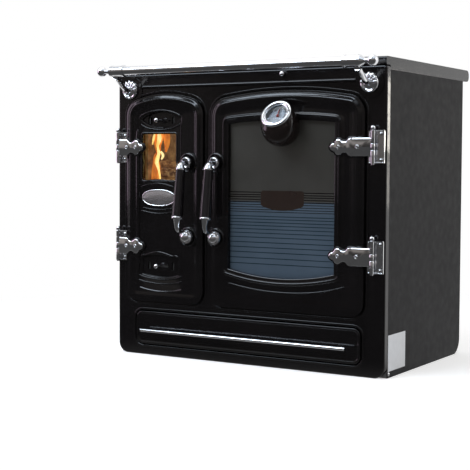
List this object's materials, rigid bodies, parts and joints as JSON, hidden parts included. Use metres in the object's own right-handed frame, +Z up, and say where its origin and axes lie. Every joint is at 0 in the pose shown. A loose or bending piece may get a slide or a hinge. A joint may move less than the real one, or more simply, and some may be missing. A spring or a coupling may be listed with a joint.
{
  "type": "wood-burning range cooker",
  "caption": "Wood-burning range cooker with a cast-iron front, a firebox door, a glazed oven door with a thermometer, a drawer, a solid hob and a towel rail.",
  "frame": {"origin": "middle of the footprint on the floor", "axes": "+X to the right seen from the front, the front faces -Y, +Z up"},
  "size_m": [0.894, 0.698, 0.85],
  "materials": {
    "black_enamel": "gloss vitreous enamel over cast iron",
    "black_sheet": "satin black sheet steel",
    "grey_iron": "ground cast iron",
    "grey_steel": "galvanised sheet",
    "mild_steel": "heat-blackened steel",
    "oven_enamel": "dark speckled oven enamel",
    "chromed_wire": "polished wire",
    "firebrick": "rough fireclay brick",
    "chrome": "mirror polish",
    "screw_steel": "polished screw head",
    "badge_metal": "satin plate with a raised border",
    "black_grip": "gloss black moulded grip",
    "clear_glass": "clear heat-resisting glass",
    "dark_glass": "lightly tinted glass",
    "white_dial": "matt white dial",
    "red_needle": "red lacquer",
    "rope": "woven glass rope"
  },
  "bodies": {
    "cooker": {"front_casting": "black_enamel", "side_panel_left": "black_sheet", "side_panel_right": "black_sheet", "back_panel": "grey_steel", "base_plate": "grey_steel", "hob_frame": "black_enamel", "hob_plate": "grey_iron", "flue_spigot": "grey_steel", "firebox_shell": "mild_steel", "firebricks": "firebrick", "fire_grate": "grey_iron", "ash_pan": "mild_steel", "oven_box": "oven_enamel", "oven_runners": "oven_enamel", "oven_rack": "chromed_wire", "drawer_guides": "grey_steel", "rail_tube": "chrome", "rail_brackets": "chrome", "rail_finials": "chrome", "hinge_leaves": "chrome", "hinge_pins": "chrome", "casing_screws": "screw_steel", "latch_keepers": "mild_steel"},
    "firebox_door": {"firebox_door_casting": "black_enamel", "firebox_door_glass": "clear_glass", "firebox_door_seal": "rope", "firebox_glass_frame": "mild_steel", "firebox_door_straps": "chrome", "firebox_strap_screws": "screw_steel", "badge_plate": "badge_metal", "firebox_handle_rest": "chrome"},
    "upper_vent": {"upper_vent_shutter": "mild_steel", "upper_vent_knob": "chrome"},
    "lower_vent": {"lower_vent_shutter": "mild_steel", "lower_vent_knob": "chrome"},
    "firebox_handle": {"firebox_handle_grip": "black_grip", "firebox_handle_arms": "chrome", "firebox_latch": "mild_steel"},
    "oven_door": {"oven_door_casting": "black_enamel", "oven_door_glass": "dark_glass", "oven_inner_glass": "clear_glass", "oven_glass_frame": "mild_steel", "oven_door_seal": "rope", "oven_door_straps": "chrome", "oven_strap_screws": "screw_steel", "thermometer_housing": "black_enamel", "thermometer_bezel": "chrome", "thermometer_dial": "white_dial", "thermometer_lens": "clear_glass", "oven_handle_rest": "chrome"},
    "needle": {"thermometer_needle": "red_needle"},
    "oven_handle": {"oven_handle_grip": "black_grip", "oven_handle_arms": "chrome", "oven_latch": "mild_steel"},
    "drawer": {"drawer_front": "black_enamel", "drawer_box": "mild_steel", "drawer_bar": "chrome"},
    "damper": {"damper_knob": "chrome", "damper_plate": "mild_steel"},
    "lid": {"hob_lid": "grey_iron"}
  },
  "joints": [
    {"name": "firebox_door_hinge", "type": "hinge", "parent": "cooker", "child": "firebox_door", "pos_m": [-0.426, -0.289, 0.4675], "axis": [0, 0, -1], "range_deg": [0, 110]},
    {"name": "oven_door_hinge", "type": "hinge", "parent": "cooker", "child": "oven_door", "pos_m": [0.403, -0.289, 0.4675], "axis": [0, 0, 1], "range_deg": [0, 110]},
    {"name": "firebox_handle_turn", "type": "hinge", "parent": "firebox_door", "child": "firebox_handle", "pos_m": [-0.177, -0.29, 0.569], "axis": [0, 1, 0], "range_deg": [0, 70]},
    {"name": "oven_handle_turn", "type": "hinge", "parent": "oven_door", "child": "oven_handle", "pos_m": [-0.083, -0.29, 0.569], "axis": [0, -1, 0], "range_deg": [0, 70]},
    {"name": "upper_vent_slide", "type": "slide", "parent": "firebox_door", "child": "upper_vent", "axis": [1, 0, 0], "range_m": [-0.014, 0.026]},
    {"name": "lower_vent_slide", "type": "slide", "parent": "firebox_door", "child": "lower_vent", "axis": [1, 0, 0], "range_m": [-0.014, 0.026]},
    {"name": "thermometer_needle_turn", "type": "hinge", "parent": "oven_door", "child": "needle", "pos_m": [0.136, -0.33, 0.701], "axis": [0, -0.7986, 0.6018], "range_deg": [-120, 120]},
    {"name": "drawer_slide", "type": "slide", "parent": "cooker", "child": "drawer", "axis": [0, -1, 0], "range_m": [0, 0.35]},
    {"name": "damper_pull", "type": "slide", "parent": "cooker", "child": "damper", "axis": [0, -1, 0], "range_m": [0, 0.06]},
    {"name": "hob_lid_lift", "type": "slide", "parent": "cooker", "child": "lid", "axis": [0, 0, 1], "range_m": [0, 0.12]}
  ]
}
